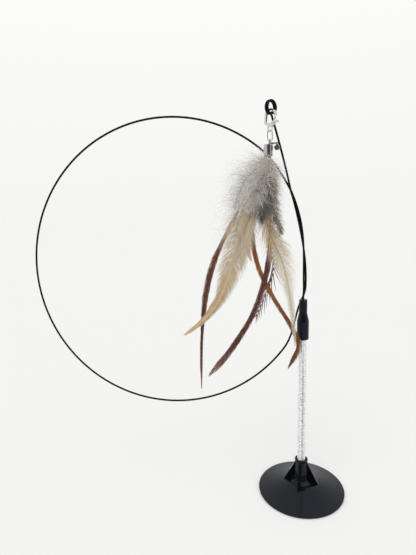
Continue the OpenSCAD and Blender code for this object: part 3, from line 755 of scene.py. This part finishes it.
def feather_finish(name, stops, edge, edge_share, tip_clear, dark_share=0.3, rachis=None, mottle=0.0,
                   sheen=0.1):
    """Feather colour along the quill; a stop's last number is how closely the barbs cover.

    edge is the colour of the barbs' tips, and edge_share how much of it shows. dark_share is how much
    darker a barb may be than its neighbour, and mottle how much darker a patch. tip_clear is how
    much thinner the tips are. rachis is the colour of the quill.
    """
    f = Finish(name)
    across = f.attribute("across")
    body, cover = f.ramp(f.attribute("along"), stops)
    body = f.mix(f.spread(across, edge_from, 1.0, 0.0, edge_share), body, edge)
    on_barb = f.spread(across, 0.0, rachis_end)
    if rachis is not None:
        body = f.mix(on_barb, rachis, body)
    uneven = f.spread(f.attribute("strand"), 0.0, 1.0, 1.0 - dark_share, 1.0 + dark_share * light_share)
    if mottle:
        uneven = f.times(uneven, f.spread(f.noise(170, detail=3), 0.35, 0.65, 1.0 - mottle, 1.0))
    f.colour(f.mix(1.0, body, f.evenly(uneven), "MULTIPLY"))
    cover = f.times(cover, f.spread(across, thin_from, 1.0, 1.0, 1.0 - tip_clear))
    see_through = f.times(on_barb, f.opposite(cover))
    f.join(f.opposite(see_through), f.shader.inputs["Alpha"])
    f.rough(f.noise(500, detail=3), 0.5, 0.7)
    f.set(Sheen_Weight=sheen, Sheen_Roughness=0.4, Specular_IOR_Level=0.25)
    return f.material


def tone(red, green, blue, cover=1.0):
    return srgb(red, green, blue)[:3] + (cover,)


golden = srgb(196, 162, 110)
straw = srgb(226, 216, 200)
pale_down = feather_finish(
    "down_pale", [(0, tone(248, 243, 237, 0.7)), (0.5, tone(248, 244, 238, 0.7)),
                  (0.85, tone(251, 249, 244, 0.45)), (1, tone(252, 250, 246, 0.3))],
    edge=srgb(253, 252, 250), edge_share=0.7, dark_share=0.1, tip_clear=0.5, rachis=straw, mottle=0.1,
    sheen=0.3)
warm_down = feather_finish(
    "down_warm", [(0, tone(248, 241, 233, 0.65)), (0.4, tone(246, 239, 230, 0.6)),
                  (1, tone(248, 241, 230, 0.55))],
    edge=srgb(252, 250, 246), edge_share=0.6, dark_share=0.1, tip_clear=0.5, rachis=straw, mottle=0.1,
    sheen=0.3)
grey_down = feather_finish(
    "down_grey", [(0, tone(232, 226, 219, 0.8)), (0.45, tone(196, 189, 181, 0.8)),
                  (0.65, tone(112, 106, 100, 0.95)), (1, tone(74, 70, 67))],
    edge=srgb(220, 216, 210), edge_share=0.3, dark_share=0.15, tip_clear=0.6, rachis=straw, mottle=0.15)
dark_down = feather_finish(
    "down_dark", [(0, tone(236, 230, 223, 0.5)), (0.26, tone(206, 198, 190, 0.6)),
                  (0.4, tone(132, 125, 118, 0.95)), (1, tone(92, 84, 78, 0.95))],
    edge=srgb(180, 174, 168), edge_share=0.3, dark_share=0.15, tip_clear=0.5, rachis=straw, mottle=0.15)
dark_red = feather_finish(
    "hackle_dark_red", [(0, tone(214, 192, 158)), (0.34, tone(208, 176, 130)), (0.42, tone(118, 66, 48)),
                        (0.8, tone(94, 48, 39)), (1, tone(130, 92, 68))],
    edge=srgb(96, 52, 42), edge_share=0.4, tip_clear=0.1)
orange = feather_finish(
    "hackle_orange", [(0, tone(180, 140, 90)), (0.2, tone(150, 92, 48)), (0.35, tone(146, 84, 38)),
                      (0.5, tone(160, 98, 44)), (0.78, tone(136, 80, 44)), (1, tone(112, 64, 42))],
    edge=srgb(140, 82, 40), edge_share=0.3, tip_clear=0.1)
purple = feather_finish(
    "hackle_purple", [(0, tone(180, 140, 100)), (0.26, tone(128, 76, 56)), (0.34, tone(104, 56, 50)),
                      (0.85, tone(98, 54, 50)), (0.96, tone(140, 104, 90)), (1, tone(176, 148, 132))],
    edge=srgb(106, 62, 56), edge_share=0.3, tip_clear=0.1)
barred = feather_finish(
    "hackle_barred", [(0, tone(190, 170, 140)), (0.36, tone(160, 120, 90)), (0.5, tone(112, 72, 56)),
                      (1, tone(104, 52, 40))],
    edge=srgb(112, 60, 46), edge_share=0.4, dark_share=0.15, tip_clear=0.0)
cream = feather_finish(
    "feather_cream", [(0, tone(224, 196, 150)), (0.3, tone(214, 178, 124)), (0.4, tone(232, 206, 164, 0.85)),
                      (0.56, tone(242, 228, 202, 0.36)), (1, tone(246, 236, 216, 0.25))],
    edge=srgb(250, 246, 236), edge_share=0.6, dark_share=0.25, tip_clear=0.5, rachis=golden)
broad_tan = feather_finish(
    "feather_broad_tan", [(0, tone(240, 224, 196, 0.8)), (0.3, tone(244, 228, 200, 0.6)),
                          (0.5, tone(242, 226, 198, 0.55)), (0.62, tone(232, 210, 172, 0.75)),
                          (0.75, tone(222, 196, 152, 0.9)), (1, tone(216, 188, 138))],
    edge=srgb(246, 238, 222), edge_share=0.5, dark_share=0.22, tip_clear=0.35, rachis=srgb(222, 196, 154))
slim_tan = feather_finish(
    "feather_slim_tan", [(0, tone(240, 224, 196, 0.6)), (1, tone(240, 222, 192, 0.5))],
    edge=srgb(246, 236, 216), edge_share=0.5, dark_share=0.25, tip_clear=0.3, rachis=golden)
tan_streak = feather_finish(
    "feather_streak", [(0, tone(214, 204, 190, 0.6)), (0.5, tone(186, 168, 144, 0.7)),
                       (1, tone(196, 178, 150, 0.5))],
    edge=srgb(214, 204, 188), edge_share=0.5, dark_share=0.4, tip_clear=0.5, rachis=golden)

# Kinds of feather. Each table gives (share of the quill's length, value): angle in degrees from the
# quill, loose from 0 for close barbs to 1 for fluff, and quill in millimetres across.
all_loose = [(0, 1), (1, 1)]
down_quill = [(0, 0.5), (0.12, 0.3), (0.3, 0.2), (1, 0.08)]
hackle = {
    "angle": [(0, 24), (0.3, 22), (0.9, 17), (1, 8)],
    "loose": [(0, 1), (0.25, 0.8), (0.35, 0.2), (0.9, 0.12), (1, 0.3)],
    "quill": [(0, 0.5), (0.5, 0.4), (1, 0.12)],
}
vane = {
    "angle": [(0, 28), (0.3, 42), (0.55, 38), (0.75, 30), (1, 16)],
    "loose": [(0, 1), (0.3, 0.9), (0.42, 0.4), (0.6, 0.2), (1, 0.15)],
    "quill": [(0, 0.5), (0.3, 0.45), (0.7, 0.35), (1, 0.12)],
}
# A straight down feather, and a wild one whose barbs stand off widely
straight_down = {
    "angle": [(0, 20), (0.15, 40), (0.3, 52), (0.6, 50), (0.85, 34), (1, 8)],
    "loose": all_loose,
    "quill": down_quill,
}
wild_down = {
    "angle": [(0, 30), (0.12, 66), (0.3, 88), (0.5, 74), (0.8, 44), (1, 10)],
    "loose": all_loose,
    "quill": down_quill,
}
barred_angle = [(0, 24), (0.5, 22), (1, 16)]
cream_angle = [(0, 28), (0.3, 36), (0.5, 26), (0.7, 20), (1, 12)]

# Values of the feather tree
close_barbs = {
    "Barbs": 600, "Barb Width": 0.3 * MM, "Flatness": 0.25, "Curl": 0.1, "Unruly": 0.25, "Uneven": 0.06,
    "Ruffle": 0.8, "Ruffle Size": 120.0, "Spread": 0.5, "Droop": 0.0}
down_barbs = {
    "Barbs": 640, "Barb Width": 0.17 * MM, "Flatness": 0.8, "Curl": 0.25, "Unruly": 0.8, "Uneven": 0.35,
    "Ruffle": 1.2, "Ruffle Size": 170.0, "Spread": 0.8, "Droop": 0.2}
streak_barbs = {
    "Barbs": 300, "Barb Width": 0.13 * MM, "Flatness": 0.8, "Curl": 0.2, "Unruly": 0.7, "Uneven": 0.35,
    "Ruffle": 1.5, "Ruffle Size": 110.0, "Spread": 0.8, "Droop": 0.15}
stiff_barbs = {"Barbs": 30, "Barb Width": 0.9 * MM, "Curl": -0.04, "Unruly": 0.3, "Ruffle": 0.2}
cream_barbs = {"Barbs": 800, "Barb Width": 0.22 * MM, "Uneven": 0.25}
tan_barbs = {"Barbs": 1200, "Barb Width": 0.26 * MM, "Uneven": 0.1}
few_barbs = {"Barbs": 420}


def profile(t, table):
    """A value along the feather, from its (share, value) pairs."""
    shares, values = zip(*table)
    return np.interp(t, shares, values)


def feather(name, node, layer, finish, line, reach, kind, barbs, angle=None):
    """One feather that stands for a node; layers count from the back.

    line holds the quill's points, as shares of the tassel's length to the right and down. reach is the
    barbs' length in millimetres along the feather. angle may replace the kind's own.
    """
    points = shaft_points(layer, line)
    steps = np.linalg.norm(np.diff(points, axis=0), axis=1)
    t = np.concatenate([[0], np.cumsum(steps)]) / steps.sum()
    mesh = line_mesh(name, points * MM)
    set_points(mesh, "reach", profile(t, reach) * MM)
    set_points(mesh, "angle", np.radians(profile(t, angle or kind["angle"])))
    set_points(mesh, "loose", profile(t, kind["loose"]))
    set_points(mesh, "quill", profile(t, kind["quill"]) * MM / 2)
    set_points(mesh, "face", np.tile([0.0, -1.0, 0.0], (len(points), 1)))
    piece = feather_maker.make(name, mesh, {**close_barbs, **barbs, "Seed": layer + 1, "Finish": finish})
    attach(piece, "tassel")
    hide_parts(node)


def short_ended(length):
    """Reach of a down feather whose barbs end before its quill does."""
    return [(0, 0), (0.08, 0), (0.12, 0.5 * length), (0.22, length), (0.5, length), (0.68, 0.75 * length),
            (0.8, 0.4 * length), (0.86, 0), (1, 0)]


feather("pale_down_back", "down_feather_back", 0, pale_down,
        line=[[-.045, .11], [-.1, .2], [-.135, .32]],
        reach=[(0, 0), (0.08, 0), (0.12, 9), (0.22, 17), (0.5, 21), (0.8, 27), (0.93, 18), (0.97, 0), (1, 0)],
        kind=wild_down, barbs=down_barbs)
feather("barred_feather", "barred_hackle", 1, barred,
        line=[[0, .2], [.012, .4], [.016, .51], [-.055, .685]],
        reach=[(0, 0), (0.3, 0), (0.36, 9), (0.6, 14), (0.9, 17), (1, 8)],
        kind=hackle, barbs=stiff_barbs, angle=barred_angle)
feather("orange_feather", "orange_hackle", 2, orange,
        line=[[-.05, .14], [-.075, .286], [-.053, .45], [.013, .6], [.096, .742], [.13, .837], [.089, .942]],
        reach=[(0, 0), (0.22, 0), (0.25, 3.5), (0.32, 5.5), (0.72, 5.5), (0.8, 6.5), (0.92, 8), (1, 2)],
        kind=hackle, barbs=close_barbs)
feather("purple_feather", "purple_hackle", 3, purple,
        line=[[0, .2], [.002, .374], [-.02, .52], [-.078, .686], [-.172, .838], [-.273, .961]],
        reach=[(0, 0), (0.26, 0), (0.3, 3), (0.42, 6.5), (0.7, 7), (0.85, 8.5), (0.93, 9), (1, 3)],
        kind=hackle, barbs=close_barbs)
feather("grey_down_right", "down_feather_right", 4, grey_down,
        line=[[0, .1], [.008, .2], [.052, .32]],
        reach=[(0, 0), (0.09, 0), (0.13, 4), (0.3, 8), (0.6, 9), (0.75, 7), (0.9, 5), (1, 2)],
        kind=straight_down, barbs=down_barbs)
feather("cream_vane", "cream_feather", 5, cream,
        line=[[-.02, .15], [-.011, .287], [.058, .46], [.095, .65], [.113, .828]],
        reach=[(0, 0), (0.2, 0), (0.25, 9), (0.32, 13), (0.42, 19), (0.54, 16), (0.7, 9), (0.9, 6), (1, 2)],
        kind=vane, barbs=cream_barbs, angle=cream_angle)
feather("dark_red_feather", "dark_red_hackle", 6, dark_red,
        line=[[-.07, .1], [-.15, .25], [-.237, .42], [-.283, .58], [-.308, .79], [-.316, 1.014]],
        reach=[(0, 0), (0.24, 0), (0.28, 5), (0.38, 5), (0.46, 7.5), (0.6, 7), (0.74, 4), (0.9, 3.5),
               (1, 1.5)],
        kind=hackle, barbs=close_barbs)
feather("broad_tan_vane", "broad_tan_feather", 7, broad_tan,
        line=[[-.045, .12], [-.11, .271], [-.158, .43], [-.215, .585], [-.295, .69], [-.379, .756]],
        reach=[(0, 0), (0.2, 0), (0.25, 13), (0.34, 18), (0.5, 17), (0.6, 13), (0.7, 9), (0.84, 6), (0.95, 4),
               (1, 2)],
        kind=vane, barbs=tan_barbs)
feather("pale_down_left", "down_feather_left", 8, pale_down,
        line=[[-.045, .04], [-.1, .09], [-.14, .17], [-.16, .26]],
        reach=short_ended(19), kind=wild_down, barbs=down_barbs)
feather("small_tan_vane", "small_tan_feather", 9, slim_tan,
        line=[[-.07, .12], [-.122, .29], [-.1, .37], [-.084, .43]],
        reach=[(0, 0), (0.35, 0), (0.45, 5.5), (0.65, 5.5), (0.85, 4.5), (1, 2)],
        kind=vane, barbs=few_barbs)
feather("slim_tan_vane", "slim_tan_feather", 10, slim_tan,
        line=[[-.035, .14], [-.085, .283], [-.13, .463]],
        reach=[(0, 0), (0.5, 0), (0.58, 5), (0.7, 7), (0.85, 6), (1, 2)],
        kind=vane, barbs=few_barbs)
feather("dark_down_middle", "down_feather_middle", 11, dark_down,
        line=[[-.012, .08], [-.034, .17], [-.04, .28]],
        reach=[(0, 0), (0.09, 0), (0.13, 5), (0.25, 11), (0.4, 13), (0.65, 12), (0.8, 9), (0.9, 5), (0.94, 0),
               (1, 0)],
        kind=straight_down, barbs=down_barbs)
feather("tan_streak_vane", "tan_streak_feather", 12, tan_streak,
        line=[[.012, .08], [.02, .2], [.035, .33]],
        reach=[(0, 0), (0.09, 0), (0.13, 1.8), (0.25, 4.05), (0.4, 4.5), (0.75, 4.5), (0.92, 3.375),
               (1, 2.25)],
        kind=straight_down, barbs=streak_barbs)
feather("pale_down_front", "down_feather_front", 13, warm_down,
        line=[[-.025, .08], [-.07, .15], [-.11, .27]],
        reach=short_ended(13), kind=wild_down, barbs=down_barbs)

# Studio: a pale floor, an even pale surround and soft light
floor_half = 6.0
surround_light = 0.78
# How far up a view points where the backdrop is palest
palest_at = 0.35
# The dark front that metal mirrors: full where a direction's y is up to dark_y, and gone from clear_y
dark_y = -0.93
clear_y = -0.52
dark_level = 0.03


def pale_floor():
    mesh = bpy.data.meshes.new("floor")
    corners = [(-floor_half, -floor_half, 0), (floor_half, -floor_half, 0),
               (floor_half, floor_half, 0), (-floor_half, floor_half, 0)]
    mesh.from_pydata(corners, [], [(0, 1, 2, 3)])
    floor = bpy.data.objects.new("floor", mesh)
    scene.collection.objects.link(floor)
    f = Finish("floor")
    f.set(Roughness=0.9, Specular_IOR_Level=0.0)
    f.colour(f.mix(f.noise(3, detail=2), srgb(240, 240, 238), srgb(241, 241, 239)))
    mesh.materials.append(f.material)


def surround():
    """Even light on the object; the camera sees a pale backdrop, and metal one with a dark front."""
    world = bpy.data.worlds.new("surround")
    scene.world = world
    world.use_nodes = True
    nodes = world.node_tree.nodes
    join = world.node_tree.links.new

    def ranged(source, low, high, into_low, kind):
        node = nodes.new("ShaderNodeMapRange")
        node.interpolation_type = kind
        limits = {"From Min": low, "From Max": high, "To Min": into_low, "To Max": 1.0}
        for name, value in limits.items():
            node.inputs[name].default_value = value
        join(source, node.inputs["Value"])
        return node.outputs["Result"]

    def backdrop(colour):
        node = nodes.new("ShaderNodeBackground")
        join(colour, node.inputs["Color"])
        return node.outputs[0]

    def choice(share, first, second):
        node = nodes.new("ShaderNodeMixShader")
        for socket, source in zip(node.inputs, (share, first, second)):
            join(source, socket)
        return node.outputs[0]

    even = nodes["Background"]
    even.inputs["Color"].default_value = (1.0, 1.0, 1.0, 1.0)
    even.inputs["Strength"].default_value = surround_light
    way = nodes.new("ShaderNodeSeparateXYZ")
    join(nodes.new("ShaderNodeTexCoord").outputs["Generated"], way.inputs[0])
    sky = nodes.new("ShaderNodeMix")
    sky.data_type = "RGBA"
    join(ranged(way.outputs["Z"], 0.0, palest_at, 0.0, "LINEAR"), sky.inputs[0])
    sky.inputs[6].default_value = srgb(245, 245, 243)
    sky.inputs[7].default_value = srgb(251, 251, 250)
    seen = backdrop(sky.outputs[2])
    mirrored = backdrop(ranged(way.outputs["Y"], dark_y, clear_y, dark_level, "SMOOTHSTEP"))
    rays = nodes.new("ShaderNodeLightPath").outputs
    shiny = nodes.new("ShaderNodeMath")
    shiny.operation = "MAXIMUM"
    join(rays["Is Glossy Ray"], shiny.inputs[0])
    join(rays["Is Transmission Ray"], shiny.inputs[1])
    unseen = choice(shiny.outputs[0], even.outputs[0], mirrored)
    join(choice(rays["Is Camera Ray"], unseen, seen), nodes["World Output"].inputs["Surface"])


def lamp(name, power, softness, aim):
    """A far lamp that shines along aim; softness is how wide it looks, in degrees."""
    light = bpy.data.lights.new(name, "SUN")
    light.energy = power
    light.angle = math.radians(softness)
    holder = bpy.data.objects.new(name, light)
    scene.collection.objects.link(holder)
    back = -unit(aim)
    side = unit(np.cross([0, 0, 1.0], back))
    holder.matrix_world = placed((0, 0, 0), side, np.cross(back, side), back)


pale_floor()
surround()
lamp("key", power=0.75, softness=40, aim=(0.35, 0.55, -1.0))
lamp("fill", power=0.3, softness=60, aim=(-0.6, 0.4, -0.6))
